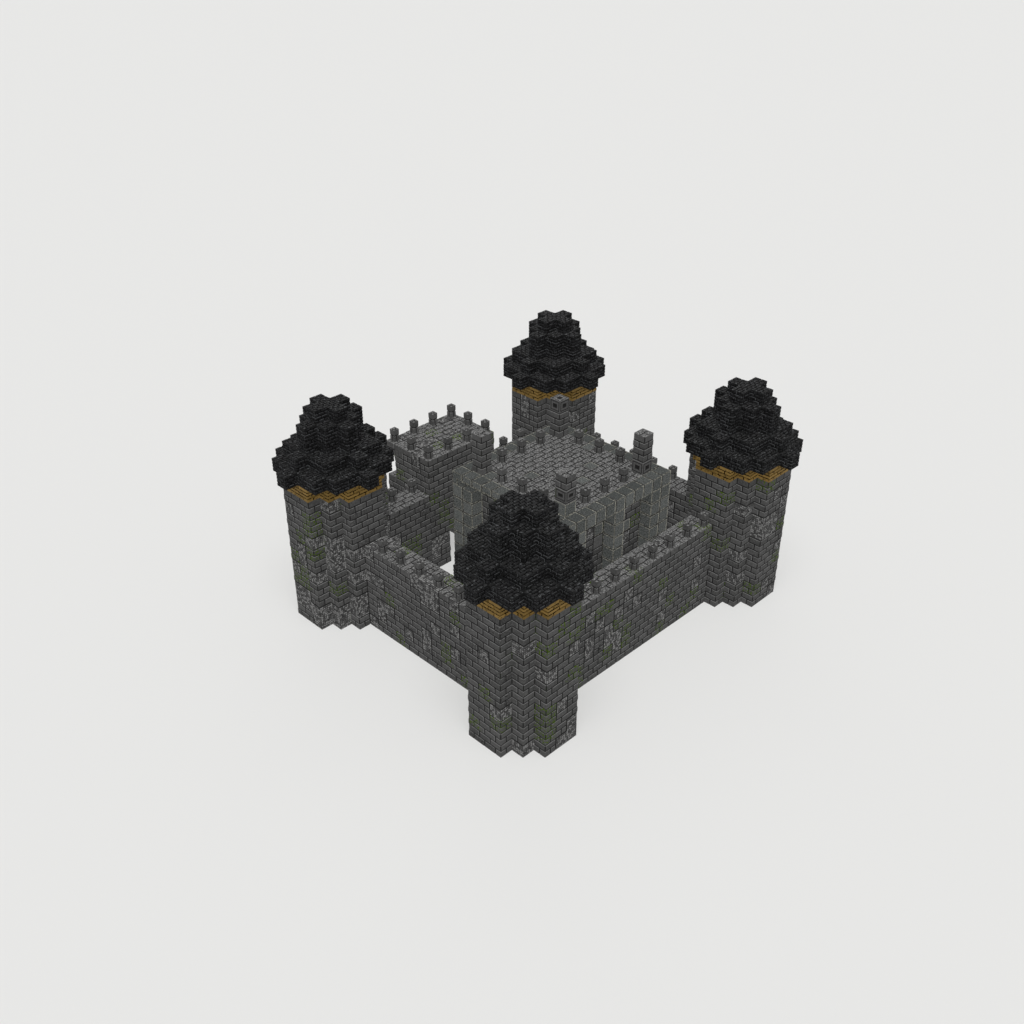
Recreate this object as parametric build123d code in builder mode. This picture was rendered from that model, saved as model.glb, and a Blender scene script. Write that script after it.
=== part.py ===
"""A walled castle: four round corner towers, a gatehouse in the north wall and a tall square hall.

The whole plan is laid out in one-metre steps, so round walls and roofs are stepped too. Millimetres,
+Z up, +Y towards the gate side. The origin is on the ground at the middle of the plan.
"""

import os
from math import floor, sqrt

from build123d import *

os.makedirs("parts", exist_ok=True)

# Corner towers: the distance between their centre lines, and the round plan in square steps
tower_spacing_x = 23000
tower_spacing_y = 19000
tower_width = 7000
tower_steps = 7
tower_room_steps = 5
tower_height = 11000

# Timber collar on the tower wall, and the stepped roof above it with the void inside. A reach is
# the radius of a round plan, counted in steps from the middle one.
collar_height = 1000
roof_step_height = 1000
roof_reaches = (4, 3, 2, 2, 1)
roof_void_reaches = (2, 1, 0, 0)

# Curtain walls and the merlons along their tops
curtain_height = 7000
curtain_thickness = 2000
curtain_outset = 500
merlon_width = 500
merlon_height = 1000
merlon_pitch = 2000
merlon_inset = 500
first_merlon_x = 1500
first_merlon_y = 2500

# The gatehouse and the hall share one centre line, a little west of the middle
approach_x = -500

# Gatehouse: its passage, the room above and the recessed storey under the roof slab
gatehouse_width = 7000
gatehouse_depth = 5000
gatehouse_height = 10000
gatehouse_roof_thickness = 1000
gatehouse_wall_thickness = 1000
gate_width = 3000
gate_height = 3000
gate_lintel_thickness = 1000
recess_sill = 7000
recess_depth = 1000

# Hall: the square infill walls, the dressed stone frame that stands out from them, and the roof
hall_width = 9000
hall_height = 11000
hall_wall_thickness = 1000
pilaster_projection = 1000
corner_pilaster_width = 1000
middle_pilaster_width = 1000
hall_roof_thickness = 1000
pier_width = 1000
pier_height = 3000

# Worked out from the sizes above
tower_cell = tower_width / tower_steps
tower_reach = tower_steps / 2
tower_room_reach = (tower_room_steps - 1) / 2
tower_x = tower_spacing_x / 2
tower_y = tower_spacing_y / 2
curtain_end_x = tower_x - tower_width / 2
curtain_end_y = tower_y - tower_width / 2
curtain_outer_x = tower_x + curtain_outset
curtain_outer_y = tower_y + curtain_outset
curtain_inner_x = curtain_outer_x - curtain_thickness
curtain_inner_y = curtain_outer_y - curtain_thickness
gatehouse_west = approach_x - gatehouse_width / 2
gatehouse_east = approach_x + gatehouse_width / 2
gatehouse_back_y = curtain_inner_y
gatehouse_front_y = gatehouse_back_y + gatehouse_depth
gatehouse_middle_y = (gatehouse_back_y + gatehouse_front_y) / 2
gatehouse_eaves = gatehouse_height - gatehouse_roof_thickness
gate_west = approach_x - gate_width / 2
gate_east = approach_x + gate_width / 2
upper_floor = gate_height + gate_lintel_thickness
recess_y = gatehouse_front_y - recess_depth
hall_frame_width = hall_width + 2 * pilaster_projection
hall_y = hall_frame_width / 2 - curtain_inner_y
hall_top = hall_height + hall_roof_thickness


def finish(piece, name):
    """Label one finished piece and write it to its own file."""
    piece.part.label = name
    export_step(piece.part, f"parts/{name}.step")


def make_wall(name, x_range, y_range, z_range):
    """A plain upright wall, or a slab, between two planes each way."""
    with BuildPart() as wall:
        with BuildSketch(Plane((x_range[0], y_range[0], z_range[0]))):
            Rectangle(x_range[1] - x_range[0], y_range[1] - y_range[0], align=(Align.MIN, Align.MIN))
        extrude(amount=z_range[1] - z_range[0])
    finish(wall, name)


def make_merlons(name, plane, places):
    """Square posts standing on a wall top or roof, at the given places in its plane."""
    with BuildPart() as merlons:
        with BuildSketch(plane):
            with Locations(*places):
                Rectangle(merlon_width, merlon_width)
        extrude(amount=merlon_height)
    finish(merlons, name)


def merlon_line(end, first):
    """Where the merlons stand along a wall that runs from -end to end."""
    count = 1 + floor((2 * end - first - merlon_width / 2) / merlon_pitch)
    return [first - end + index * merlon_pitch for index in range(count)]


def merlon_ring(width, depth, with_corners=True):
    """Where the merlons stand along the four edges of a roof, evenly spaced from corner to corner."""
    ring_x = width / 2 - merlon_inset
    ring_y = depth / 2 - merlon_inset
    columns = round(2 * ring_x / merlon_pitch)
    rows = round(2 * ring_y / merlon_pitch)
    places = []
    for column in range(columns + 1):
        for row in range(rows + 1):
            on_side = column in (0, columns)
            on_end = row in (0, rows)
            on_corner = on_side and on_end
            if (on_side or on_end) and (with_corners or not on_corner):
                places.append(((2 * column / columns - 1) * ring_x, (2 * row / rows - 1) * ring_y))
    return places


def stepped_disc(reach):
    """Corner points of a round plan in square cells: every cell whose centre lies within reach."""
    corners = []
    for row in range(-floor(reach), floor(reach) + 1):
        half_width = (floor(sqrt(reach**2 - row**2)) + 0.5) * tower_cell
        row_top = (row + 0.5) * tower_cell
        if corners and corners[-1][0] == half_width:
            corners[-1] = (half_width, row_top)
        else:
            corners += [(half_width, row_top - tower_cell), (half_width, row_top)]
    return corners + [(-x, y) for x, y in reversed(corners)]


def stepped_face(plane, reach, void_reach=None):
    """A stepped round face with, where a void is named, a stepped round hole in its middle."""
    with BuildSketch(plane) as face:
        with BuildLine():
            Polyline(*stepped_disc(reach), close=True)
        make_face()
        if void_reach is not None:
            with BuildLine():
                Polyline(*stepped_disc(void_reach), close=True)
            make_face(mode=Mode.SUBTRACT)
    return face.sketch


def make_tower_wall(name, centre, outward, kept):
    """One half of a tower's round wall, parted from the other on the line across its centre."""
    with BuildPart() as wall:
        extrude(stepped_face(Plane(centre), tower_reach, tower_room_reach), amount=tower_height)
        split(bisect_by=Plane(centre, x_dir=(1, 0, 0), z_dir=(0, outward, 0)), keep=kept)
    finish(wall, name)


def make_tower_collar(name, x, y):
    """The boarded timber ring between the tower's wall and its roof."""
    with BuildPart() as collar:
        face = stepped_face(Plane((x, y, tower_height)), tower_reach, tower_room_reach)
        extrude(face, amount=collar_height)
    finish(collar, name)


def make_tower_roof(name, x, y):
    """The stepped conical roof: each step is a narrower ring, hollow up to the solid cap."""
    base = tower_height + collar_height
    last = len(roof_reaches) - 1
    with BuildPart() as roof:
        for level, reach in enumerate(roof_reaches):
            plane = Plane((x, y, base + level * roof_step_height))
            void_reach = roof_void_reaches[level] if level < last else None
            extrude(stepped_face(plane, reach, void_reach), amount=roof_step_height)
    finish(roof, name)


for corner, side_x, side_y in (
    ("southwest", -1, -1),
    ("northwest", -1, 1),
    ("southeast", 1, -1),
    ("northeast", 1, 1),
):
    centre = (side_x * tower_x, side_y * tower_y, 0)
    make_tower_wall(f"tower_wall_{corner}_outer", centre, side_y, Keep.TOP)
    make_tower_wall(f"tower_wall_{corner}_inner", centre, side_y, Keep.BOTTOM)
    make_tower_collar(f"tower_collar_{corner}", centre[0], centre[1])
    make_tower_roof(f"tower_roof_{corner}", centre[0], centre[1])

# Curtain walls between the towers. The north one stops at the gatehouse on both sides.
wall_z = (0, curtain_height)
south_y = (-curtain_outer_y, -curtain_inner_y)
north_y = (curtain_inner_y, curtain_outer_y)
side_wall_y = (-curtain_end_y, curtain_end_y)
make_wall("curtain_wall_south", (-curtain_end_x, curtain_end_x), south_y, wall_z)
make_wall("curtain_wall_west", (-curtain_outer_x, -curtain_inner_x), side_wall_y, wall_z)
make_wall("curtain_wall_east", (curtain_inner_x, curtain_outer_x), side_wall_y, wall_z)
make_wall("curtain_wall_north_left", (-curtain_end_x, gatehouse_west), north_y, wall_z)
make_wall("curtain_wall_north_right", (gatehouse_east, curtain_end_x), north_y, wall_z)

# Merlons in one row along each wall, a little behind its outer face
curtain_top = Plane.XY.offset(curtain_height)
row_x = curtain_outer_x - merlon_inset
row_y = curtain_outer_y - merlon_inset
xs = merlon_line(curtain_end_x, first_merlon_x)
ys = merlon_line(curtain_end_y, first_merlon_y)
beside_gatehouse = [x for x in xs if abs(x - approach_x) > (gatehouse_width + merlon_width) / 2]
make_merlons("wall_merlons_south", curtain_top, [(x, -row_y) for x in xs])
make_merlons("wall_merlons_north", curtain_top, [(x, row_y) for x in beside_gatehouse])
make_merlons("wall_merlons_west", curtain_top, [(-row_x, y) for y in ys])
make_merlons("wall_merlons_east", curtain_top, [(row_x, y) for y in ys])


def make_gatehouse_side(name, west_face, width):
    """The block beside the passage, cut back in front between the sill and the roof slab."""
    with BuildPart() as side:
        with BuildSketch(Plane.YZ.offset(west_face)):
            with BuildLine():
                Polyline(
                    (gatehouse_back_y, 0),
                    (gatehouse_front_y, 0),
                    (gatehouse_front_y, recess_sill),
                    (recess_y, recess_sill),
                    (recess_y, gatehouse_eaves),
                    (gatehouse_back_y, gatehouse_eaves),
                    close=True,
                )
            make_face()
        extrude(amount=width)
    finish(side, name)


make_gatehouse_side("gatehouse_side_west", gatehouse_west, gate_west - gatehouse_west)
make_gatehouse_side("gatehouse_side_east", gate_east, gatehouse_east - gate_east)

# Over the passage: the lintel slab, and the back and front walls of the room above it.
# The front wall steps back with the recess, and on the inside one wall thickness lower.
gate_x = (gate_west, gate_east)
back_wall_y = (gatehouse_back_y, gatehouse_back_y + gatehouse_wall_thickness)
make_wall("gatehouse_lintel", gate_x, (gatehouse_back_y, gatehouse_front_y), (gate_height, upper_floor))
make_wall("gatehouse_back_wall", gate_x, back_wall_y, (upper_floor, gatehouse_eaves))

with BuildPart() as gatehouse_front_wall:
    with BuildSketch(Plane.YZ.offset(gate_west)):
        with BuildLine():
            Polyline(
                (gatehouse_front_y - gatehouse_wall_thickness, upper_floor),
                (gatehouse_front_y, upper_floor),
                (gatehouse_front_y, recess_sill),
                (recess_y, recess_sill),
                (recess_y, gatehouse_eaves),
                (recess_y - gatehouse_wall_thickness, gatehouse_eaves),
                (recess_y - gatehouse_wall_thickness, recess_sill - gatehouse_wall_thickness),
                (gatehouse_front_y - gatehouse_wall_thickness, recess_sill - gatehouse_wall_thickness),
                close=True,
            )
        make_face()
    extrude(amount=gate_width)
finish(gatehouse_front_wall, "gatehouse_front_wall")

# The roof slab oversails the recess and carries merlons along all four edges
with BuildPart() as gatehouse_roof:
    with BuildSketch(Plane((approach_x, gatehouse_middle_y, gatehouse_eaves))):
        Rectangle(gatehouse_width, gatehouse_depth)
    extrude(amount=gatehouse_roof_thickness)
finish(gatehouse_roof, "gatehouse_roof")

gatehouse_top = Plane((approach_x, gatehouse_middle_y, gatehouse_height))
make_merlons("gatehouse_merlons", gatehouse_top, merlon_ring(gatehouse_width, gatehouse_depth))

# Hall infill walls: the south and north ones run through, the others stand between them
hall_half = hall_width / 2
room_half = hall_half - hall_wall_thickness
hall_x = (approach_x - hall_half, approach_x + hall_half)
room_y = (hall_y - room_half, hall_y + room_half)
hall_z = (0, hall_height)
make_wall("hall_wall_south", hall_x, (hall_y - hall_half, hall_y - room_half), hall_z)
make_wall("hall_wall_north", hall_x, (hall_y + room_half, hall_y + hall_half), hall_z)
make_wall("hall_wall_west", (hall_x[0], approach_x - room_half), room_y, hall_z)
make_wall("hall_wall_east", (approach_x + room_half, hall_x[1]), room_y, hall_z)

# The dressed stone frame: pilasters on the infill walls, and the cornice round the roof slab
corner_side = corner_pilaster_width + pilaster_projection
corner_spacing = hall_frame_width - corner_side
with BuildPart() as hall_corner_pilasters:
    with BuildSketch(Plane((approach_x, hall_y, 0))):
        with GridLocations(corner_spacing, corner_spacing, 2, 2):
            Rectangle(corner_side, corner_side)
        Rectangle(hall_width, hall_width, mode=Mode.SUBTRACT)
    extrude(amount=hall_height)
finish(hall_corner_pilasters, "hall_corner_pilasters")

with BuildPart() as hall_middle_pilasters:
    with BuildSketch(Plane((approach_x, hall_y, 0))):
        Rectangle(hall_frame_width, middle_pilaster_width)
        Rectangle(middle_pilaster_width, hall_frame_width)
        Rectangle(hall_width, hall_width, mode=Mode.SUBTRACT)
    extrude(amount=hall_height)
finish(hall_middle_pilasters, "hall_middle_pilasters")

with BuildPart() as hall_cornice:
    with BuildSketch(Plane((approach_x, hall_y, hall_height))):
        Rectangle(hall_frame_width, hall_frame_width)
        Rectangle(hall_width, hall_width, mode=Mode.SUBTRACT)
    extrude(amount=hall_roof_thickness)
finish(hall_cornice, "hall_cornice")

with BuildPart() as hall_roof:
    with BuildSketch(Plane((approach_x, hall_y, hall_height))):
        Rectangle(hall_width, hall_width)
    extrude(amount=hall_roof_thickness)
finish(hall_roof, "hall_roof")

# On the hall's roof: merlons along the edges, and a tall pier on each corner
hall_top_plane = Plane((approach_x, hall_y, hall_top))
hall_places = merlon_ring(hall_width, hall_width, with_corners=False)
make_merlons("hall_merlons", hall_top_plane, hall_places)

pier_spacing = hall_width - pier_width
with BuildPart() as hall_piers:
    with BuildSketch(hall_top_plane):
        with GridLocations(pier_spacing, pier_spacing, 2, 2):
            Rectangle(pier_width, pier_width)
    extrude(amount=pier_height)
finish(hall_piers, "hall_piers")
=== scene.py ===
"""The walled castle in its stone, slate and timber, laid over the solid model course by course."""

import random
from functools import cache
from math import floor, radians

import bmesh
import bpy
from mathutils import Matrix, Vector, noise
from mathutils.bvhtree import BVHTree


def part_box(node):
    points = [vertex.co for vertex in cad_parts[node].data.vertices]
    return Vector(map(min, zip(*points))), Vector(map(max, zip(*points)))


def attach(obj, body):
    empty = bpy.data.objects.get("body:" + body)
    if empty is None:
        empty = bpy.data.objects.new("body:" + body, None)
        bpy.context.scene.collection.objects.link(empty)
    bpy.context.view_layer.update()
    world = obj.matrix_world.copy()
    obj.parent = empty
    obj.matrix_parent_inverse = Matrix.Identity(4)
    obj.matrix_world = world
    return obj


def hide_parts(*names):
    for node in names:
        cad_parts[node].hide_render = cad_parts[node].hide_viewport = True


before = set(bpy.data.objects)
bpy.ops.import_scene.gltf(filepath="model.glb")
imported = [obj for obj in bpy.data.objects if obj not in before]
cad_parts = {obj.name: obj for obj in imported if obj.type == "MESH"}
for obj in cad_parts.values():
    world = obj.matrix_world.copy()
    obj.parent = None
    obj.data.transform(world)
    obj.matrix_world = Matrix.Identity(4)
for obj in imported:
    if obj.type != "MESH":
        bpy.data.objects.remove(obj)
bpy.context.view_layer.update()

# Coursing, in metres: the plan is laid out in one-metre blocks, two courses of stone to a block
BLOCK = 1.0
STONE_COURSE = 0.5
STONE_LENGTH = 1.0
SLATE_COURSE = 0.25
SLATE_LENGTH = 0.5
BOARD_COURSE = 0.25
BOARD_LENGTH = 1.0
COBBLES_ACROSS = 6
COBBLE_FIELDS = 6

# Cobbles: the share paired into longer ones, how far rows shift and corners stray, and the share of
# pale ones, with their tone and the palest of the others
PAIRED_SHARE = 0.2
ROW_SHIFT = 0.035
CORNER_STRAY = 0.05
PALE_SHARE = 0.45
PALE_TONE = 1.3
DULL_TONE = 0.8

# Insets, each a width and a rise: the sunk bed of a rubble block, the joint round a cobble, its
# rounded edge, the groove of a corner joint, and the margin of a dressed block
BED_INSET = (0.006, -0.018)
COBBLE_JOINT = (0.018, 0.022)
COBBLE_EDGE = (0.022, 0.009)
CORNER_GROOVE = (0.008, -0.02)
MARGIN_INSET = (0.055, -0.005)

# Joints: the width of the gap, its depth, and the worn arris along each side of it, which carries the
# painted highlight and shade
STONE_JOINT = (0.062, 0.040, 0.050)
DRESSED_JOINT = (0.050, 0.040, 0.014)
SLATE_JOINT = (0.036, 0.035, 0.045)
BOARD_JOINT = (0.080, 0.035, 0.010)
JOINT_SLOPE = 0.006
CORNER_JOINT = 0.055

# Shares of the blocks that aren't plain masonry, and how far they gather in patches of the wall
RUBBLE_SHARE = 0.14
MOSSY_SHARE = 0.12
CRACKED_SHARE = 0.12
SMOOTH_SHARE = 0.01
CLUSTER_SCALE = 0.37
CLUSTER_PULL = 1.6

# Where a wall was mended with rubble: the middle of each place, how far it reaches, and its share
MENDED = (
    (Vector((-12, 8, 3)), 4.5),
    (Vector((-4, -10, 3)), 3.0),
    (Vector((13, -12, 6)), 2.5),
    (Vector((-9, -13, 1)), 2.5),
)
MENDED_SHARE = 0.45

# How much paler the top of a wall is painted than its sides, as painted light, below zero where it is
# painted darker, as painted shade: in plain and in dressed stone, and the painted shade that the hall's
# roof adds to that
TOP_PAINTED_LIGHT = 0.1
DRESSED_TOP_PAINTED_SHADE = -1.2
HALL_ROOF_PAINTED_SHADE = -0.6

# The tone of the four margins of a dressed block, paler on the upper and right margins as painted
# highlight and darker on the lower and left ones as painted shade, the painted shade that the block's
# top adds to it, and the tone of a ringed panel
MARGIN_PAINTED_LIGHT_AND_SHADE = {"upper": 0.6, "right": 1.2, "lower": -0.2, "left": -1.0}
MARGIN_TOP_PAINTED_SHADE = -0.9
PANEL_TONE = 0.9

# How pale the upper and right arris of a stone is, worn and painted with highlight, from least to most,
# and the painted shade on its lower one
ARRIS_WEAR_AND_HIGHLIGHT = (0.35, 1.0)
LOWER_ARRIS_PAINTED_SHADE = 0.7

CORNERS = ("southwest", "northwest", "southeast", "northeast")

# The slots of a piece of stonework, and the rings of a panel from its rim inwards: the width of the
# ring before the step, the rise of the step, and the finish inside it
STONE, MORTAR, RUBBLE, DRESSED, ARRIS = range(5)
PANEL_RINGS = (
    (0.07, 0.0, MORTAR),
    (0.01, -0.03, MORTAR),
    (0.045, 0.0, MORTAR),
    (0.01, 0.03, STONE),
    (0.16, 0.0, MORTAR),
    (0.03, -0.04, MORTAR),
)

# Points this close are one, a place this close to a line is on it, and a face smaller than this,
# in square metres, is part of a joint
WELD = 0.001
NEAR = 0.01
SMALLEST_FACE = 0.12

# How far ahead of a face, and how far behind it, tells what is there
JUST_AHEAD = 0.1
JUST_BEHIND = 0.25

# Two faces with a product of normals over this lie in one plane, an arris slopes by this much, and
# a normal that rises or sinks by more than this is a level face's, or else an upright one's
SAME_WAY = 0.99
SLOPING = 0.2
LEVEL = 0.5

# How far from a corner of a face towards its middle its moss is looked up
INWARDS = 0.1

# Colours: the darkest and the palest tone of each finish, and what wear with painted highlight, painted
# glints, moss and knots add
STONE_TONES = (0.051, 0.051, 0.050), (0.106, 0.105, 0.104)
STONE_WORN_AND_HIGHLIT = (0.190, 0.189, 0.188)
RUBBLE_TONES = (0.032, 0.032, 0.032), (0.235, 0.233, 0.230)
RUBBLE_WORN_AND_HIGHLIT = (0.28, 0.28, 0.28)
DRESSED_TONES = (0.040, 0.044, 0.042), (0.158, 0.165, 0.160)
DRESSED_WORN_AND_HIGHLIT = (0.16, 0.165, 0.16)
ARRIS_TONES = (0.028, 0.028, 0.026), (0.38, 0.37, 0.315)
ARRIS_WORN_AND_HIGHLIT = (0.39, 0.38, 0.325)
MORTAR_TONES = (0.008, 0.008, 0.008), (0.026, 0.026, 0.025)
MOSS_TONES = (0.028, 0.058, 0.001), (0.085, 0.130, 0.004)
MOSS_IN_JOINTS = (0.034, 0.062, 0.003)
SLATE_TONES = (0.0032, 0.0032, 0.0032), (0.0115, 0.0115, 0.0120)
SLATE_CHIPS = (0.070, 0.072, 0.075)
SLATE_GAP_TONES = (0.002, 0.002, 0.002), (0.006, 0.006, 0.006)
BOARD_TONES = (0.135, 0.085, 0.022), (0.250, 0.156, 0.044)
KNOTS = (0.045, 0.028, 0.009)
BOARD_GAP_TONES = (0.006, 0.004, 0.002), (0.115, 0.072, 0.020)
PALE_FLOOR = (0.74, 0.74, 0.73)
PALE_SKY = (0.82, 0.82, 0.81)

# The grey that the floor and the sky light the castle with
FLOOR_LIGHT = (0.25, 0.25, 0.25)
SKY_LIGHT = (0.21, 0.21, 0.21)

# The photo's viewpoint, southwest of the castle and well above it, in metres and degrees
CAMERA_PLACE = (-51.217, -48.225, 50.003)
CAMERA_TILT = 58.705
CAMERA_TURN = -45
CAMERA_LENS = 38.60
CAMERA_SENSOR = 36
FURTHEST_SEEN = 10000

# The side of the floor and the height of the lamps, in metres, and how wide a lamp is, in degrees
FLOOR_SIZE = 6000
LAMP_HEIGHT = 60
LAMP_WIDTH = 40


# Materials


def new_material(name, roughness, specular):
    """An empty material with a plain surface shader, and its node tree."""
    material = bpy.data.materials.new(name)
    material.use_nodes = True
    shader = material.node_tree.nodes["Principled BSDF"]
    shader.inputs["Roughness"].default_value = roughness
    shader.inputs["Specular IOR Level"].default_value = specular
    return material, material.node_tree, shader


def grain(tree, scale, detail=4.0, stretch=(1, 1, 1), offset=0.0):
    """Cloudy noise over the object, stretched along the axes: its value."""
    place = tree.nodes.new("ShaderNodeTexCoord")
    mapping = tree.nodes.new("ShaderNodeMapping")
    clouds = tree.nodes.new("ShaderNodeTexNoise")
    mapping.inputs["Scale"].default_value = stretch
    mapping.inputs["Location"].default_value = (offset, offset, offset)
    clouds.inputs["Scale"].default_value = scale
    clouds.inputs["Detail"].default_value = detail
    tree.links.new(place.outputs["Object"], mapping.inputs["Vector"])
    tree.links.new(mapping.outputs["Vector"], clouds.inputs["Vector"])
    return clouds.outputs["Fac"]


def step_between(tree, value, low, high):
    """The value stretched so that low is 0 and high is 1."""
    rescale = tree.nodes.new("ShaderNodeMapRange")
    rescale.inputs["From Min"].default_value = low
    rescale.inputs["From Max"].default_value = high
    tree.links.new(value, rescale.inputs["Value"])
    return rescale.outputs["Result"]


def mesh_value(tree, name):
    """A number that the mesh carries."""
    attribute = tree.nodes.new("ShaderNodeAttribute")
    attribute.attribute_name = name
    return attribute.outputs["Fac"]


def combine(tree, operation, first, second):
    """A sum, product or other operation on two values, each a socket or a number."""
    node = tree.nodes.new("ShaderNodeMath")
    node.operation = operation
    for socket, value in zip(node.inputs, (first, second)):
        if isinstance(value, (int, float)):
            socket.default_value = value
        else:
            tree.links.new(value, socket)
    return node.outputs["Value"]


def times(tree, first, second):
    return combine(tree, "MULTIPLY", first, second)


def plus(tree, first, second):
    return combine(tree, "ADD", first, second)


def blend_values(tree, share, first, second):
    """The first value for the share and the second for the rest."""
    return plus(tree, times(tree, first, share), times(tree, second, 1 - share))


def blend_colours(tree, share, first, second):
    """Two colours, each a socket or red, green and blue, mixed by a share."""
    node = tree.nodes.new("ShaderNodeMix")
    node.data_type = "RGBA"
    sockets = (node.inputs[0], node.inputs[6], node.inputs[7])
    for socket, value in zip(sockets, (share, first, second)):
        if isinstance(value, tuple):
            socket.default_value = (*value, 1.0)
        else:
            tree.links.new(value, socket)
    return node.outputs[2]


def deepened(colour, factor):
    """A colour made darker, or paler, by a factor."""
    return tuple(factor * value for value in colour)


def relief(tree, shader, height, depth):
    """Bump of the surface by a height."""
    bump = tree.nodes.new("ShaderNodeBump")
    bump.inputs["Strength"].default_value = 0.8
    bump.inputs["Distance"].default_value = depth
    tree.links.new(height, bump.inputs["Height"])
    tree.links.new(bump.outputs["Normal"], shader.inputs["Normal"])


def moss_growth(tree, low, high):
    """Where moss grows on the mossy blocks: the same dots on stones and joints, the denser the lower."""
    dots = step_between(tree, grain(tree, scale=7.0, detail=2.0, offset=11.0), low, high)
    return times(tree, mesh_value(tree, "moss"), dots)


def crack_lines(tree):
    """The cracks that run through the cracked blocks."""
    cracks = tree.nodes.new("ShaderNodeTexVoronoi")
    cracks.feature = "DISTANCE_TO_EDGE"
    cracks.inputs["Scale"].default_value = 3.2
    place = tree.nodes.new("ShaderNodeTexCoord")
    tree.links.new(place.outputs["Object"], cracks.inputs["Vector"])
    lines = step_between(tree, cracks.outputs["Distance"], 0.035, 0.012)
    return times(tree, lines, mesh_value(tree, "cracked"))


def stone_material(name, tones, worn_and_highlit, fleck_share, fleck_scale):
    """Grey stone, each in its own tone, with worn arrises that carry painted highlight, painted glints
    on its tops, pits, cracks and moss.
    """
    material, tree, shader = new_material(name, roughness=0.9, specular=0.15)
    dark, light = tones
    mottle = grain(tree, scale=4.0, detail=6.0)
    fine = grain(tree, scale=18.0, detail=3.0, offset=3.0)
    flecks = step_between(tree, grain(tree, fleck_scale, detail=1.5, offset=5.0), 0.34, 0.66)
    own = blend_values(tree, 0.6, mesh_value(tree, "tone"), mottle)
    shade = blend_values(tree, fleck_share, flecks, own)
    colour = blend_colours(tree, step_between(tree, shade, 0.15, 0.85), dark, light)

    # Worn arrises, pale where the mesh marks wear together with painted highlight
    wear_and_highlight = times(tree, mesh_value(tree, "worn_and_highlit"), step_between(tree, fine, 0.30, 0.46))
    colour = blend_colours(tree, wear_and_highlight, colour, worn_and_highlit)
    # Painted glints: pale flecks on the tops alone, standing in for the light that falls on them
    glints = step_between(tree, grain(tree, scale=8.0, detail=1.0, offset=7.0), 0.50, 0.58)
    glints = times(tree, mesh_value(tree, "painted_top_glints"), glints)
    colour = blend_colours(tree, times(tree, glints, 0.8), colour, deepened(worn_and_highlit, 1.35))
    pits = times(tree, step_between(tree, fine, 0.42, 0.34), 0.6)
    colour = blend_colours(tree, pits, colour, deepened(dark, 0.5))
    cracks = crack_lines(tree)
    colour = blend_colours(tree, cracks, colour, deepened(dark, 0.4))
    growth = moss_growth(tree, 0.555, 0.575)
    colour = blend_colours(tree, growth, colour, blend_colours(tree, fine, *MOSS_TONES))
    tree.links.new(colour, shader.inputs["Base Color"])

    height = plus(tree, mottle, times(tree, fine, 0.6))
    height = combine(tree, "SUBTRACT", height, times(tree, cracks, 0.8))
    relief(tree, shader, plus(tree, height, times(tree, growth, 0.3)), depth=0.02)
    return material


def mortar_material():
    """The dark sunk joints between the stones, with moss growing along some of them."""
    material, tree, shader = new_material("mortar", roughness=1.0, specular=0.1)
    fine = grain(tree, scale=30.0)
    colour = blend_colours(tree, fine, *MORTAR_TONES)
    colour = blend_colours(tree, moss_growth(tree, 0.52, 0.55), colour, MOSS_IN_JOINTS)
    tree.links.new(colour, shader.inputs["Base Color"])
    relief(tree, shader, fine, depth=0.01)
    return material


def slate_material():
    """Near-black slate in thin flaky layers, with grey chipped edges and flecks, the chips heaviest on
    the upper and right arrises as painted highlight.
    """
    material, tree, shader = new_material("slate", roughness=0.8, specular=0.1)
    layers = grain(tree, scale=2.6, stretch=(1, 1, 6))
    flecks = grain(tree, scale=5.0, detail=3.0, stretch=(1, 1, 4), offset=5.0)
    shade = blend_values(tree, 0.5, mesh_value(tree, "tone"), layers)
    colour = blend_colours(tree, step_between(tree, shade, 0.2, 0.8), *SLATE_TONES)
    # Chips gather on the upper and right arrises, as wear and as painted highlight
    wear_and_highlight = combine(tree, "POWER", mesh_value(tree, "worn_and_highlit"), 3.0)
    chips = plus(tree, step_between(tree, flecks, 0.59, 0.64), wear_and_highlight)
    colour = blend_colours(tree, combine(tree, "MINIMUM", chips, 1.0), colour, SLATE_CHIPS)
    tree.links.new(colour, shader.inputs["Base Color"])
    relief(tree, shader, plus(tree, layers, times(tree, flecks, 0.5)), depth=0.03)
    return material


def slate_gap_material():
    """The black gaps between the slates."""
    material, tree, shader = new_material("slate_gap", roughness=1.0, specular=0.0)
    fine = grain(tree, scale=24.0)
    colour = blend_colours(tree, fine, *SLATE_GAP_TONES)
    tree.links.new(colour, shader.inputs["Base Color"])
    relief(tree, shader, fine, depth=0.01)
    return material


def board_material():
    """Tan sawn boards, with the grain along the courses and dark knots."""
    material, tree, shader = new_material("boards", roughness=0.7, specular=0.2)
    streaks = grain(tree, scale=3.0, detail=5.0, stretch=(1, 1, 14))
    knots = grain(tree, scale=4.0, detail=2.0, stretch=(1, 1, 2.5), offset=8.0)
    shade = blend_values(tree, 0.45, mesh_value(tree, "tone"), streaks)
    colour = blend_colours(tree, step_between(tree, shade, 0.2, 0.8), *BOARD_TONES)
    colour = blend_colours(tree, step_between(tree, knots, 0.58, 0.66), colour, KNOTS)
    tree.links.new(colour, shader.inputs["Base Color"])
    relief(tree, shader, streaks, depth=0.012)
    return material


def board_gap_material():
    """The gaps between the boards, dark but for the sawdust that fills them in places."""
    material, tree, shader = new_material("board_gap", roughness=1.0, specular=0.0)
    dust = step_between(tree, grain(tree, scale=7.0, detail=1.0, offset=4.0), 0.48, 0.54)
    colour = blend_colours(tree, dust, *BOARD_GAP_TONES)
    tree.links.new(colour, shader.inputs["Base Color"])
    relief(tree, shader, grain(tree, scale=24.0), depth=0.01)
    return material


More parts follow.
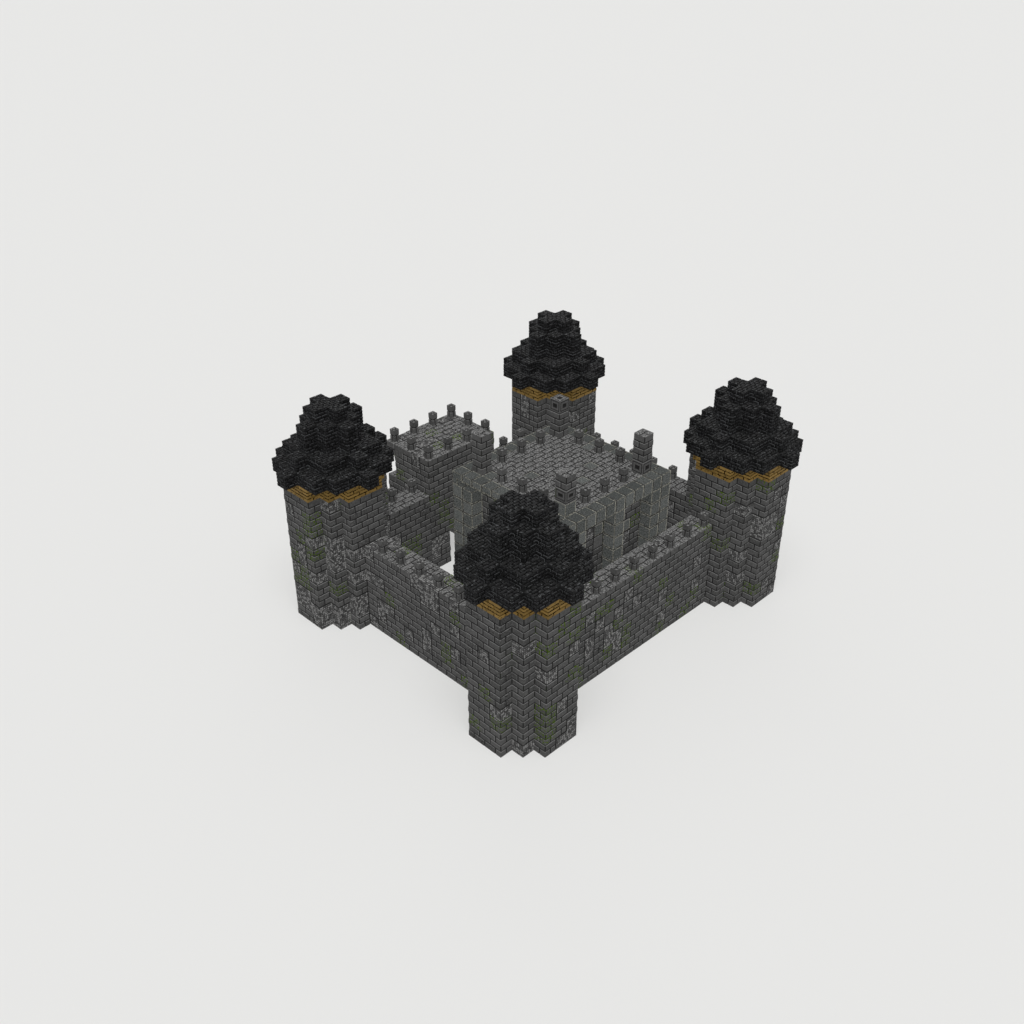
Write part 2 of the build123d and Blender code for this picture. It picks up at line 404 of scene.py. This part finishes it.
stone = stone_material("stone", STONE_TONES, STONE_WORN_AND_HIGHLIT, fleck_share=0.4, fleck_scale=7.5)
rubble = stone_material("rubble", RUBBLE_TONES, RUBBLE_WORN_AND_HIGHLIT, fleck_share=0.25, fleck_scale=7.5)
dressed = stone_material("dressed_stone", DRESSED_TONES, DRESSED_WORN_AND_HIGHLIT, fleck_share=0.6, fleck_scale=11.0)
# The margins of dressed blocks, whose tone on each side is painted highlight or painted shade
arris = stone_material("pale_arris", ARRIS_TONES, ARRIS_WORN_AND_HIGHLIT, fleck_share=0.7, fleck_scale=9.0)
mortar = mortar_material()
slate = slate_material()
slate_gap = slate_gap_material()
boards = board_material()
board_gap = board_gap_material()


# Kinds of block. A block is named by its lowest corner, and its kind holds on all its faces.


def hall_block(column, row, level):
    """The block in a column and row of the hall's infill square, counted from its southwest corner."""
    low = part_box("hall_wall_south")[0]
    return round(low[0]) + column, round(low[1]) + row, level


roof_base = round(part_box("hall_roof")[1][2])


@cache
def on_hall_roof(block):
    """Whether the block is one of the hall's roof stones, which are kept clean."""
    low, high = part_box("hall_roof")
    return all(low[axis] - NEAR < block[axis] < high[axis] for axis in range(3))


odd_blocks = {
    hall_block(4, 2, roof_base - 1): "dressed",
    hall_block(6, 3, roof_base - 1): "dressed",
    hall_block(8, 5, roof_base - 1): "dressed",
    hall_block(0, 7, roof_base - 1): "dressed",
    hall_block(2, 5, roof_base - 1): "dressed",
    hall_block(3, 0, 9): "dressed",
    hall_block(6, 0, 8): "dressed",
    hall_block(3, 0, 8): "smooth",
    hall_block(0, 0, roof_base): "dressed",
    hall_block(0, 0, roof_base + 1): "panel",
    hall_block(0, 0, roof_base + 2): "plain",
    hall_block(8, 0, roof_base): "panel",
    hall_block(8, 0, roof_base + 1): "plain",
    hall_block(8, 0, roof_base + 2): "plain",
    hall_block(8, 8, roof_base): "plain",
    hall_block(8, 8, roof_base + 1): "plain",
    hall_block(8, 8, roof_base + 2): "panel",
    hall_block(0, 8, roof_base): "plain",
    hall_block(0, 8, roof_base + 1): "plain",
    hall_block(0, 8, roof_base + 2): "plain",
}
WHOLE_BLOCKS = ("dressed", "panel", "smooth", "rubble")


@cache
def by_lot(*what):
    """A number from 0 to 1 that is always the same for the same thing."""
    return random.Random(repr(what)).random()


@cache
def kind_of(block, usual):
    """What a block is made of: its own kind if it has one, or by lot in usual masonry."""
    if block in odd_blocks:
        return odd_blocks[block]
    if usual != "masonry":
        return usual
    if on_hall_roof(block):
        return "plain"
    cluster = noise.noise(Vector(block) * CLUSTER_SCALE)
    lot = by_lot("block", block)
    mended = any((Vector(block) - middle).length < reach for middle, reach in MENDED)
    if lot < (MENDED_SHARE if mended else RUBBLE_SHARE * (1 + CLUSTER_PULL * cluster)):
        return "rubble"
    if lot > 1 - MOSSY_SHARE * (1 - CLUSTER_PULL * cluster):
        return "mossy"
    if by_lot("crack", block) < CRACKED_SHARE:
        return "cracked"
    if by_lot("smooth", block) < SMOOTH_SHARE:
        return "smooth"
    return "plain"


def block_behind(point, normal):
    """The block just behind a point of a surface."""
    inside = point - normal * JUST_BEHIND
    return tuple(floor(value / BLOCK) for value in inside)


def block_of(face):
    """The block that a face of a mesh in edit mode belongs to."""
    return block_behind(face.calc_center_median(), face.normal)


# Laying stones


def take_copy(name, nodes):
    """One object in the place of the named nodes, with the points that coincide made one."""
    bpy.ops.object.select_all(action="DESELECT")
    copies = []
    for node in nodes:
        copy = bpy.data.objects.new(name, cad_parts[node].data.copy())
        bpy.context.scene.collection.objects.link(copy)
        copy.select_set(True)
        copies.append(copy)
    bpy.context.view_layer.objects.active = copies[0]
    if len(copies) > 1:
        bpy.ops.object.join()
    piece = bpy.context.view_layer.objects.active
    piece.name = name
    bpy.ops.mesh.customdata_custom_splitnormals_clear()
    bpy.ops.object.mode_set(mode="EDIT")
    bpy.ops.mesh.select_all(action="SELECT")
    bpy.ops.mesh.remove_doubles(threshold=WELD)
    bpy.ops.mesh.delete_loose()
    bpy.ops.object.mode_set(mode="OBJECT")
    return piece


def drop_parting(piece, middle):
    """Takes out the faces where the two halves of a tower meet, so that its wall is one shell."""

    def on_parting(face):
        return abs(face.normal.y) > SAME_WAY and abs(face.calc_center_median().y - middle) < WELD

    bpy.ops.object.mode_set(mode="EDIT")
    select_parts(piece, "FACE", on_parting)
    bpy.ops.mesh.delete(type="FACE")
    bpy.ops.object.mode_set(mode="OBJECT")


def search_tree(mesh):
    """The mesh's faces, kept so that the one nearest to a point is found quickly."""
    points = [vertex.co for vertex in mesh.vertices]
    return BVHTree.FromPolygons(points, [face.vertices for face in mesh.polygons])


def drop_covered(piece, nodes):
    """Takes out the faces that another of the piece's nodes stands against."""
    solids = [search_tree(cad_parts[node].data) for node in nodes]

    def covered(face):
        """Whether the point just ahead of the face is inside one of the solids."""
        ahead = face.calc_center_median() + face.normal * JUST_AHEAD
        nearest = [solid.find_nearest(ahead) for solid in solids]
        return any((place - ahead).dot(outwards) > 0 for place, outwards, index, distance in nearest)

    for axis in range(3):
        cut_along(piece, axis, STONE_COURSE)
    bpy.ops.object.mode_set(mode="EDIT")
    select_parts(piece, "FACE", covered)
    bpy.ops.mesh.delete(type="FACE")
    bpy.ops.mesh.select_all(action="SELECT")
    bpy.ops.mesh.remove_doubles(threshold=WELD)
    bpy.ops.object.mode_set(mode="OBJECT")


def select_parts(piece, kind, wanted):
    """In edit mode, selects just the faces, edges or vertices that a test wants."""
    bpy.ops.mesh.select_mode(type=kind)
    bpy.ops.mesh.select_all(action="DESELECT")
    mesh = bmesh.from_edit_mesh(piece.data)
    for part in {"FACE": mesh.faces, "EDGE": mesh.edges, "VERT": mesh.verts}[kind]:
        if wanted(part):
            part.select_set(True)
    bmesh.update_edit_mesh(piece.data)


def cut_along(piece, axis, spacing):
    """Cuts the whole piece by evenly spaced planes across one axis."""
    low = min(vertex.co[axis] for vertex in piece.data.vertices)
    high = max(vertex.co[axis] for vertex in piece.data.vertices)
    across = Vector((0, 0, 0))
    across[axis] = 1
    bpy.ops.object.mode_set(mode="EDIT")
    line = floor(low / spacing + NEAR) + 1
    while line * spacing < high - NEAR:
        bpy.ops.mesh.select_all(action="SELECT")
        bpy.ops.mesh.bisect(plane_co=across * line * spacing, plane_no=across)
        line += 1
    bpy.ops.object.mode_set(mode="OBJECT")


def in_flat_face(edge):
    """Whether the edge lies within one flat face."""
    if len(edge.link_faces) != 2:
        return False
    first, second = edge.link_faces
    return first.normal.dot(second.normal) > SAME_WAY


def slanted(edge):
    """Whether the edge only crosses a flat face, as the sides of the model's triangles do."""
    along = edge.verts[1].co - edge.verts[0].co
    return in_flat_face(edge) and sum(abs(value) > WELD for value in along) > 1


def lay_courses(piece, course, length, joint, usual, hidden, gap_slot=1):
    """Cuts the piece's flat faces into stones in running bond and sinks the joints between them."""
    width, depth, worn_and_highlit = joint
    cut_along(piece, 0, length / 2)
    cut_along(piece, 1, length / 2)
    cut_along(piece, 2, course)

    def flat(edge):
        """Whether the edge lies in one flat face that shows."""
        return in_flat_face(edge) and not hidden(edge.link_faces[0])

    def is_joint(edge):
        """Whether the stones part along this edge."""
        blocks = [block_of(face) for face in edge.link_faces]
        kinds = [kind_of(block, usual) for block in blocks]
        if kinds == ["rubble", "rubble"] or blocks[0] == blocks[1] and kinds[0] in WHOLE_BLOCKS:
            return False
        if blocks[0] != blocks[1] and (kinds[0] in WHOLE_BLOCKS or kinds[1] in WHOLE_BLOCKS):
            return True
        middle = (edge.verts[0].co + edge.verts[1].co) / 2
        along = edge.verts[1].co - edge.verts[0].co
        normal = edge.link_faces[0].normal
        if abs(normal.z) > LEVEL:
            if abs(along.x) > abs(along.y):
                return True
            row = floor(middle.y / (length / 2) + NEAR)
            return (round(2 * middle.x / length) + row) % 2 == 1
        if abs(along.z) < NEAR:
            return True
        row = floor(middle.z / course)
        place = middle.y if abs(normal.x) > LEVEL else middle.x
        return (round(2 * place / length) + row) % 2 == 1

    def merges(edge):
        """Whether one stone, or one block's rubble, lies on both sides of the edge."""
        if not flat(edge) or is_joint(edge):
            return False
        first, second = [block_of(face) for face in edge.link_faces]
        return first == second or kind_of(first, usual) != "rubble"

    def parts_stones(edge):
        return flat(edge) and is_joint(edge)

    bpy.ops.object.mode_set(mode="EDIT")
    select_parts(piece, "EDGE", slanted)
    bpy.ops.mesh.dissolve_edges(use_verts=True)
    select_parts(piece, "EDGE", merges)
    bpy.ops.mesh.dissolve_edges(use_verts=False)
    select_parts(piece, "EDGE", parts_stones)
    bpy.ops.mesh.bevel(
        offset=width / 2 + worn_and_highlit, segments=1, affect="EDGES", clamp_overlap=False, material=gap_slot
    )
    select_parts(piece, "FACE", lambda face: face.material_index == gap_slot)
    assign(piece, 0)
    bpy.ops.mesh.inset(thickness=worn_and_highlit, depth=-worn_and_highlit / 3, use_even_offset=False)
    assign(piece, gap_slot)
    bpy.ops.mesh.inset(thickness=JOINT_SLOPE, depth=worn_and_highlit / 3 - depth, use_even_offset=False)
    bpy.ops.object.mode_set(mode="OBJECT")


def open_corner_joints(piece, usual, hidden):
    """Opens the joint of two stones on an upright corner of the wall, in each second course."""
    squareness = 0.1

    def plain_side(face):
        """Whether the face is the upright, showing side of a stone of plain masonry."""
        if face.material_index != STONE or hidden(face) or abs(face.normal.z) > squareness:
            return False
        return kind_of(block_of(face), usual) not in WHOLE_BLOCKS

    def parts(edge):
        if len(edge.link_faces) != 2 or edge.calc_length() < STONE_COURSE / 2:
            return False
        first, second = edge.link_faces
        if not plain_side(first) or not plain_side(second):
            return False
        middle = (edge.verts[0].co + edge.verts[1].co) / 2
        on_grid = all(abs(value - round(value)) < NEAR for value in (middle.x, middle.y))
        square = abs(first.normal.dot(second.normal)) < squareness
        return square and on_grid and floor(middle.z / STONE_COURSE) % 2 == 1

    bpy.ops.object.mode_set(mode="EDIT")
    select_parts(piece, "EDGE", parts)
    bpy.ops.mesh.bevel(offset=CORNER_JOINT, segments=1, affect="EDGES", material=MORTAR)
    bpy.ops.mesh.select_mode(type="FACE")
    inset_each(CORNER_GROOVE)
    bpy.ops.object.mode_set(mode="OBJECT")


def add_slots(piece, *materials):
    """Gives the piece these materials, in this order."""
    piece.data.materials.clear()
    for material in materials:
        piece.data.materials.append(material)
    for face in piece.data.polygons:
        face.material_index = 0


def assign(piece, slot):
    """In edit mode, gives the selected faces the material in a slot."""
    piece.active_material_index = slot
    bpy.ops.object.material_slot_assign()


def inset_each(inset):
    """In edit mode, insets each selected face by a width and a rise."""
    width, rise = inset
    bpy.ops.mesh.inset(thickness=width, depth=rise, use_individual=True)


def make_cobble_field(number):
    """A flat square of rubble walling, a metre across and facing up: worn cobbles bedded in mortar."""
    bpy.ops.object.select_all(action="DESELECT")
    bpy.ops.mesh.primitive_grid_add(
        x_subdivisions=COBBLES_ACROSS, y_subdivisions=COBBLES_ACROSS, size=BLOCK
    )
    field = bpy.context.active_object
    add_slots(field, stone, mortar, rubble, dressed, arris)
    paired = set()

    def joins_pair(edge):
        """Whether the two cobbles beside the edge become one longer stone."""
        if len(edge.link_faces) != 2 or by_lot("pair", number, edge.index) > PAIRED_SHARE:
            return False
        if paired & set(edge.link_faces):
            return False
        paired.update(edge.link_faces)
        return True

    def inner(vertex):
        return not vertex.is_boundary

    def row_of(vertex):
        """The row of a corner between cobbles, counted from the field's lower rim."""
        return round((vertex.co.y / BLOCK + 0.5) * COBBLES_ACROSS)

    bpy.ops.object.mode_set(mode="EDIT")
    select_parts(field, "EDGE", joins_pair)
    bpy.ops.mesh.dissolve_edges(use_verts=False)
    select_parts(field, "VERT", lambda vertex: inner(vertex) and row_of(vertex) % 2 == 0)
    bpy.ops.transform.translate(value=(-ROW_SHIFT, 0, 0))
    select_parts(field, "VERT", lambda vertex: inner(vertex) and row_of(vertex) % 2 == 1)
    bpy.ops.transform.translate(value=(ROW_SHIFT, 0, 0))
    select_parts(field, "VERT", inner)
    bpy.ops.transform.vertex_random(offset=CORNER_STRAY, uniform=0.0, normal=0.0, seed=number)
    bpy.ops.transform.resize(value=(1, 1, 0), center_override=(0, 0, 0))
    bpy.ops.object.mode_set(mode="OBJECT")
    tones = field.data.attributes.new("tone", "FLOAT", "FACE")
    for face in field.data.polygons:
        lot = by_lot("cobble", number, face.index)
        tones.data[face.index].value = PALE_TONE if lot > 1 - PALE_SHARE else DULL_TONE * lot
    bpy.ops.object.mode_set(mode="EDIT")
    bpy.ops.mesh.select_mode(type="FACE")
    bpy.ops.mesh.select_all(action="SELECT")
    assign(field, MORTAR)
    inset_each(COBBLE_JOINT)
    assign(field, RUBBLE)
    inset_each(COBBLE_EDGE)
    bpy.ops.object.mode_set(mode="OBJECT")
    mesh = field.data
    bpy.data.objects.remove(field)
    return mesh


def showing(kind, usual, hidden):
    """A test for the whole faces of one kind of block, joints left out."""

    def test(face):
        if hidden(face) or face.material_index != STONE or face.calc_area() < SMALLEST_FACE:
            return False
        return kind_of(block_of(face), usual) == kind

    return test


def seat_on(normal, corners):
    """Where a one-metre square goes to cover a rectangle at its deepest, in quarter turns by lot."""
    low = Vector([min(corner[axis] for corner in corners) for axis in range(3)])
    high = Vector([max(corner[axis] for corner in corners) for axis in range(3)])
    up = Vector((0, 1, 0)) if normal.z else Vector((0, 0, 1))
    right = up.cross(normal)
    for turn in range(floor(4 * by_lot("turn", *[round(value, 1) for value in low]))):
        up, right = right, -up
    size = high - low
    width = abs(right.dot(size))
    height = abs(up.dot(size))
    seat = Matrix((right * width, up * height, normal)).transposed().to_4x4()
    middle = (low + high) / 2
    deepest = min(corner.dot(normal) for corner in corners)
    seat.translation = middle + normal * (deepest - middle.dot(normal))
    return seat


def bed_cobbles(piece, usual, hidden):
    """Sinks the face of each rubble block, its arrises with it, and beds a field of cobbles there."""

    def in_rubble(face):
        if hidden(face) or face.material_index != STONE:
            return False
        return kind_of(block_of(face), usual) == "rubble"

    rim, rise = BED_INSET
    bpy.ops.object.mode_set(mode="EDIT")
    select_parts(piece, "FACE", in_rubble)
    assign(piece, MORTAR)
    bpy.ops.mesh.inset(thickness=rim, depth=rise, use_even_offset=True)
    beds = {}
    for face in bmesh.from_edit_mesh(piece.data).faces:
        if face.select:
            normal = tuple(round(value) for value in face.normal)
            bed = block_behind(face.calc_center_median(), Vector(normal)), normal
            beds.setdefault(bed, []).extend(vertex.co.copy() for vertex in face.verts)
    seats = [seat_on(Vector(normal), corners) for (block, normal), corners in beds.items()]
    bpy.ops.mesh.delete(type="ONLY_FACE")
    bpy.ops.object.mode_set(mode="OBJECT")
    for count, seat in enumerate(seats):
        field = bpy.data.objects.new("cobbles", cobble_fields[count % COBBLE_FIELDS].copy())
        field.data.transform(seat)
        bpy.context.scene.collection.objects.link(field)
        field.select_set(True)
    if seats:
        bpy.ops.object.join()


def finish_blocks(piece, usual, hidden):
    """Works the faces of the odd blocks: rubble, margins on dressed stone, rings on panels."""
    bpy.ops.object.mode_set(mode="EDIT")
    select_parts(piece, "FACE", showing("dressed", usual, hidden))
    assign(piece, ARRIS)
    inset_each(MARGIN_INSET)
    assign(piece, DRESSED)

    select_parts(piece, "FACE", showing("panel", usual, hidden))
    for width, rise, finish in PANEL_RINGS:
        inset_each((width, rise))
        assign(piece, finish)
    bpy.ops.object.mode_set(mode="OBJECT")
    bed_cobbles(piece, usual, hidden)


def stone_place(face, course, length):
    """Which stone a face belongs to: its place along both walls, and its course."""
    half = length / 2
    within_course = 0.4 * course
    looking_up = 0.7
    inside = face.center - face.normal * within_course
    if face.normal.z > looking_up:
        row = floor(inside.y / half)
        shift = half if row % 2 else 0
        return "top", floor((inside.x + shift) / length), row
    row = floor(inside.z / course)
    shift = 0 if row % 2 else half
    return floor((inside.x + shift) / length), floor((inside.y + shift) / length), row


def slope_of(normal):
    """How an arris slopes within its wall: towards the wall's top, and towards its right end."""
    flat = max(range(3), key=lambda axis: abs(normal[axis]))
    outwards = Vector((0, 0, 0))
    outwards[flat] = 1 if normal[flat] > 0 else -1
    up = Vector((0, 1, 0)) if flat == 2 else Vector((0, 0, 1))
    return normal.dot(up), normal.dot(up.cross(outwards))


def margin_side(normal):
    """Which margin of a dressed face this is, by the way it slopes down towards the face's middle."""
    upwards, sideways = slope_of(normal)
    if abs(upwards) > abs(sideways):
        return "lower" if upwards > 0 else "upper"
    return "left" if sideways > 0 else "right"


def carry_values(piece, course, length, usual):
    """Writes each stone's tone, with painted light on plain tops, painted shade on dressed tops, the
    hall's roof and lower arrises, its worn arrises with painted highlight on the upper and right ones,
    the painted glints on tops, the painted highlight and shade of dressed margins, and where moss and
    cracks are, on the mesh.
    """
    mesh = piece.data
    for name in ("tone", "worn_and_highlit", "painted_top_glints", "cracked", "moss"):
        if name not in mesh.attributes:
            mesh.attributes.new(name, "FLOAT", "CORNER" if name == "moss" else "FACE")
    tones, worn_and_highlit, painted_top_glints, cracked, moss = (
        mesh.attributes[name] for name in ("tone", "worn_and_highlit", "painted_top_glints", "cracked", "moss")
    )
    stonework = usual in ("masonry", "plain", "dressed")
    top_painted_shading = DRESSED_TOP_PAINTED_SHADE if usual == "dressed" else TOP_PAINTED_LIGHT
    for face in mesh.polygons:
        normal = face.normal
        place = stone_place(face, course, length)
        upwards, sideways = slope_of(normal)
        # Tops are painted paler as painted light in plain stone, slates and boards, and darker as
        # painted shade in dressed stone
        tone = by_lot("stone", *place) + top_painted_shading * max(normal.z, 0)
        # Painted shade on the lower arris of each stone
        if face.material_index == STONE and upwards < -SLOPING:
            tone -= LOWER_ARRIS_PAINTED_SHADE
        # Wear and painted highlight on the upper and right arrises
        if face.material_index == STONE and (upwards > SLOPING or sideways > SLOPING):
            least, most = ARRIS_WEAR_AND_HIGHLIGHT
            worn_and_highlit.data[face.index].value = least + (most - least) * by_lot("arris", *place)
        block = block_behind(face.center, normal)
        kind = kind_of(block, usual)
        # Painted shade on the hall's roof stones, which stand open to the whole sky
        if on_hall_roof(block):
            tone += HALL_ROOF_PAINTED_SHADE
        if kind == "panel":
            tone = PANEL_TONE
        # Margins of dressed blocks: painted highlight on the upper and right, painted shade on the
        # lower, the left and the top
        if stonework and face.material_index == ARRIS:
            tone = MARGIN_PAINTED_LIGHT_AND_SHADE[margin_side(normal)] + MARGIN_TOP_PAINTED_SHADE * max(normal.z, 0)
        if not (stonework and face.material_index == RUBBLE):
            tones.data[face.index].value = tone
        # Painted glints on the tops of plain stone
        if usual != "dressed" and face.material_index == STONE:
            painted_top_glints.data[face.index].value = max(normal.z, 0)
        cracked.data[face.index].value = 1.0 if kind == "cracked" else 0.0
        for corner in face.loop_indices:
            point = mesh.vertices[mesh.loops[corner].vertex_index].co
            nearby = point.lerp(face.center, INWARDS)
            mossy = kind_of(block_behind(nearby, normal), usual) == "mossy"
            moss.data[corner].value = 1.0 if mossy else 0.0


def faces_down(face):
    return face.normal.z < -LEVEL


def faces_room(low, high):
    """A test for the faces that close a room, between two corners of it, or that look down."""
    middle = (low + high) / 2

    def test(face):
        centre = face.calc_center_median()
        within = all(low[axis] - NEAR < centre[axis] < high[axis] + NEAR for axis in range(3))
        return faces_down(face) or within and face.normal.dot(centre - middle) < NEAR

    return test


cobble_fields = [make_cobble_field(number) for number in range(COBBLE_FIELDS)]


def make_stonework(name, nodes, hidden=faces_down, usual="masonry", shape=None):
    """Dressed masonry in the place of the nodes: blocks, courses, joints and odd stones."""
    piece = take_copy(name, nodes)
    if shape is not None:
        shape(piece)
    add_slots(piece, dressed if usual == "dressed" else stone, mortar, rubble, dressed, arris)
    joint = DRESSED_JOINT if usual == "dressed" else STONE_JOINT
    lay_courses(piece, STONE_COURSE, STONE_LENGTH, joint, usual, hidden)
    open_corner_joints(piece, usual, hidden)
    finish_blocks(piece, usual, hidden)
    carry_values(piece, STONE_COURSE, STONE_LENGTH, usual)
    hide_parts(*nodes)
    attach(piece, "root")
    return piece


def tower_middle(corner):
    low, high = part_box(f"tower_collar_{corner}")
    return Vector(((low[0] + high[0]) / 2, (low[1] + high[1]) / 2, 0))


def make_tower(corner):
    """The round wall, the boarded collar and the slate roof of one tower."""
    middle = tower_middle(corner)

    def towards_axis(face):
        """Whether the face is upright and looks at the tower's middle, as the room's do."""
        return face.normal.dot(face.calc_center_median() - middle) < 0 and abs(face.normal.z) < LEVEL

    def flat_or_indoors(face):
        return abs(face.normal.z) > LEVEL or towards_axis(face)

    def under_or_indoors(face):
        return faces_down(face) or towards_axis(face)

    def one_shell(piece):
        drop_parting(piece, middle.y)

    halves = [f"tower_wall_{corner}_outer", f"tower_wall_{corner}_inner"]
    make_stonework(f"tower_stonework_{corner}", halves, flat_or_indoors, shape=one_shell)

    collar = take_copy(f"tower_boards_{corner}", [f"tower_collar_{corner}"])
    add_slots(collar, boards, board_gap)
    lay_courses(collar, BOARD_COURSE, BOARD_LENGTH, BOARD_JOINT, "boards", flat_or_indoors)
    carry_values(collar, BOARD_COURSE, BOARD_LENGTH, "boards")
    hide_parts(f"tower_collar_{corner}")
    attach(collar, "root")

    roof = take_copy(f"tower_slates_{corner}", [f"tower_roof_{corner}"])
    add_slots(roof, slate, slate_gap)
    lay_courses(roof, SLATE_COURSE, SLATE_LENGTH, SLATE_JOINT, "slate", under_or_indoors)
    carry_values(roof, SLATE_COURSE, SLATE_LENGTH, "slate")
    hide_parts(f"tower_roof_{corner}")
    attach(roof, "root")


for corner in CORNERS:
    make_tower(corner)

for side in ("south", "west", "east", "north_left", "north_right"):
    make_stonework(f"curtain_stonework_{side}", [f"curtain_wall_{side}"])
for side in ("south", "west", "east", "north"):
    make_stonework(f"curtain_merlons_{side}", [f"wall_merlons_{side}"], usual="plain")


def corner_between(x_node, x_end, y_node, y_end, z_node, z_end):
    """A point from one coordinate of the box of each of three nodes."""
    return Vector((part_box(x_node)[x_end][0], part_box(y_node)[y_end][1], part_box(z_node)[z_end][2]))


room_low = corner_between("gatehouse_side_west", 1, "gatehouse_back_wall", 1, "gatehouse_lintel", 1)
room_high = corner_between("gatehouse_side_east", 0, "gatehouse_front_wall", 1, "gatehouse_roof", 0)
gate_room = faces_room(room_low, room_high)
gatehouse_parts = ("side_west", "side_east", "lintel", "back_wall", "front_wall", "roof")
gatehouse = [f"gatehouse_{part}" for part in gatehouse_parts]


def inside_gatehouse(face):
    """Whether the face closes the room over the gate or is the building's foot, and so never shows."""
    above_ground = face.calc_center_median().z > BLOCK
    return gate_room(face) and not (faces_down(face) and above_ground)


def join_gatehouse(piece):
    drop_covered(piece, gatehouse)


make_stonework("gatehouse_stonework", gatehouse, inside_gatehouse, shape=join_gatehouse)
make_stonework("gatehouse_merlon_stones", ["gatehouse_merlons"], usual="plain")

room_low = corner_between("hall_wall_west", 1, "hall_wall_south", 1, "hall_wall_south", 0)
room_high = corner_between("hall_wall_east", 0, "hall_wall_north", 0, "hall_roof", 0)
hall_room = faces_room(room_low, room_high)
for side in ("south", "north", "west", "east"):
    make_stonework(f"hall_infill_{side}", [f"hall_wall_{side}"], hidden=hall_room)
make_stonework("hall_roof_stones", ["hall_roof"])
make_stonework("hall_merlon_stones", ["hall_merlons"], usual="plain")
make_stonework("hall_pier_stones", ["hall_piers"])
for node in ("hall_corner_pilasters", "hall_middle_pilasters"):
    make_stonework(f"{node}_stones", [node], usual="dressed")


def undercut_cornice(piece):
    """Sets back the lower half of the cornice on its west and east sides, short of the corners."""
    (west, south, foot), (east, north, top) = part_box("hall_cornice")
    half = (top - foot) / 2
    for axis in range(3):
        cut_along(piece, axis, half)
    bpy.ops.object.mode_set(mode="EDIT")
    for side, inwards in ((west, half), (east, -half)):

        def lower_front(face):
            centre = face.calc_center_median()
            in_reach = south + half < centre.y < north - half and centre.z < foot + half
            return in_reach and abs(centre.x - side) < NEAR

        def left_below(face):
            centre = face.calc_center_median()
            in_reach = south + half < centre.y < north - half and centre.z < foot + NEAR
            return in_reach and abs(centre.x - side) < half

        select_parts(piece, "FACE", lower_front)
        bpy.ops.mesh.extrude_region_move(TRANSFORM_OT_translate={"value": (inwards, 0, 0)})
        select_parts(piece, "FACE", left_below)
        bpy.ops.mesh.delete(type="FACE")
    bpy.ops.mesh.select_all(action="SELECT")
    bpy.ops.mesh.remove_doubles(threshold=WELD)
    bpy.ops.object.mode_set(mode="OBJECT")


make_stonework("hall_cornice_stones", ["hall_cornice"], usual="dressed", shape=undercut_cornice)


# Floor, light and camera


def seen_directly(tree):
    """1 for what the camera sees, straight or in a reflection, and 0 for light on the castle."""
    path = tree.nodes.new("ShaderNodeLightPath")
    seen = combine(tree, "MAXIMUM", path.outputs["Is Camera Ray"], path.outputs["Is Glossy Ray"])
    return combine(tree, "MAXIMUM", seen, path.outputs["Is Transmission Ray"])


def make_floor():
    """A pale floor for the castle to stand on."""
    bpy.ops.mesh.primitive_plane_add(size=FLOOR_SIZE, location=(0, 0, 0))
    floor_plane = bpy.context.active_object
    floor_plane.name = "floor"
    material, tree, shader = new_material("pale_floor", roughness=1.0, specular=0.0)
    colour = blend_colours(tree, seen_directly(tree), FLOOR_LIGHT, PALE_FLOOR)
    tree.links.new(colour, shader.inputs["Base Color"])
    floor_plane.data.materials.append(material)


def make_light():
    """A pale sky all round, one sun with shadow, and two without that fill the courts and recesses."""
    world = bpy.data.worlds.new("studio")
    bpy.context.scene.world = world
    world.use_nodes = True
    tree = world.node_tree
    background = tree.nodes["Background"]
    background.inputs["Strength"].default_value = 1.0
    colour = blend_colours(tree, seen_directly(tree), SKY_LIGHT, PALE_SKY)
    tree.links.new(colour, background.inputs["Color"])
    add_sun("soft_sun", tilt=20, turn=-45, energy=0.8, with_shadow=True)
    add_sun("front_fill", tilt=60, turn=-45, energy=2.4, with_shadow=False)
    add_sun("back_fill", tilt=60, turn=135, energy=1.6, with_shadow=False)


def add_sun(name, tilt, turn, energy, with_shadow):
    """A wide soft sun, tilted from overhead and turned about the upright axis, in degrees."""
    bpy.ops.object.light_add(
        type="SUN", location=(0, 0, LAMP_HEIGHT), rotation=(radians(tilt), 0, radians(turn))
    )
    sun = bpy.context.active_object
    sun.name = name
    sun.data.energy = energy
    sun.data.angle = radians(LAMP_WIDTH)
    sun.data.use_shadow = with_shadow


def make_camera():
    """The photo's viewpoint."""
    bpy.ops.object.camera_add(
        location=CAMERA_PLACE, rotation=(radians(CAMERA_TILT), 0, radians(CAMERA_TURN))
    )
    camera = bpy.context.active_object
    camera.data.sensor_width = CAMERA_SENSOR
    camera.data.lens = CAMERA_LENS
    camera.data.clip_end = FURTHEST_SEEN
    bpy.context.scene.camera = camera


make_floor()
make_light()
make_camera()
bpy.context.scene.view_settings.view_transform = "Standard"
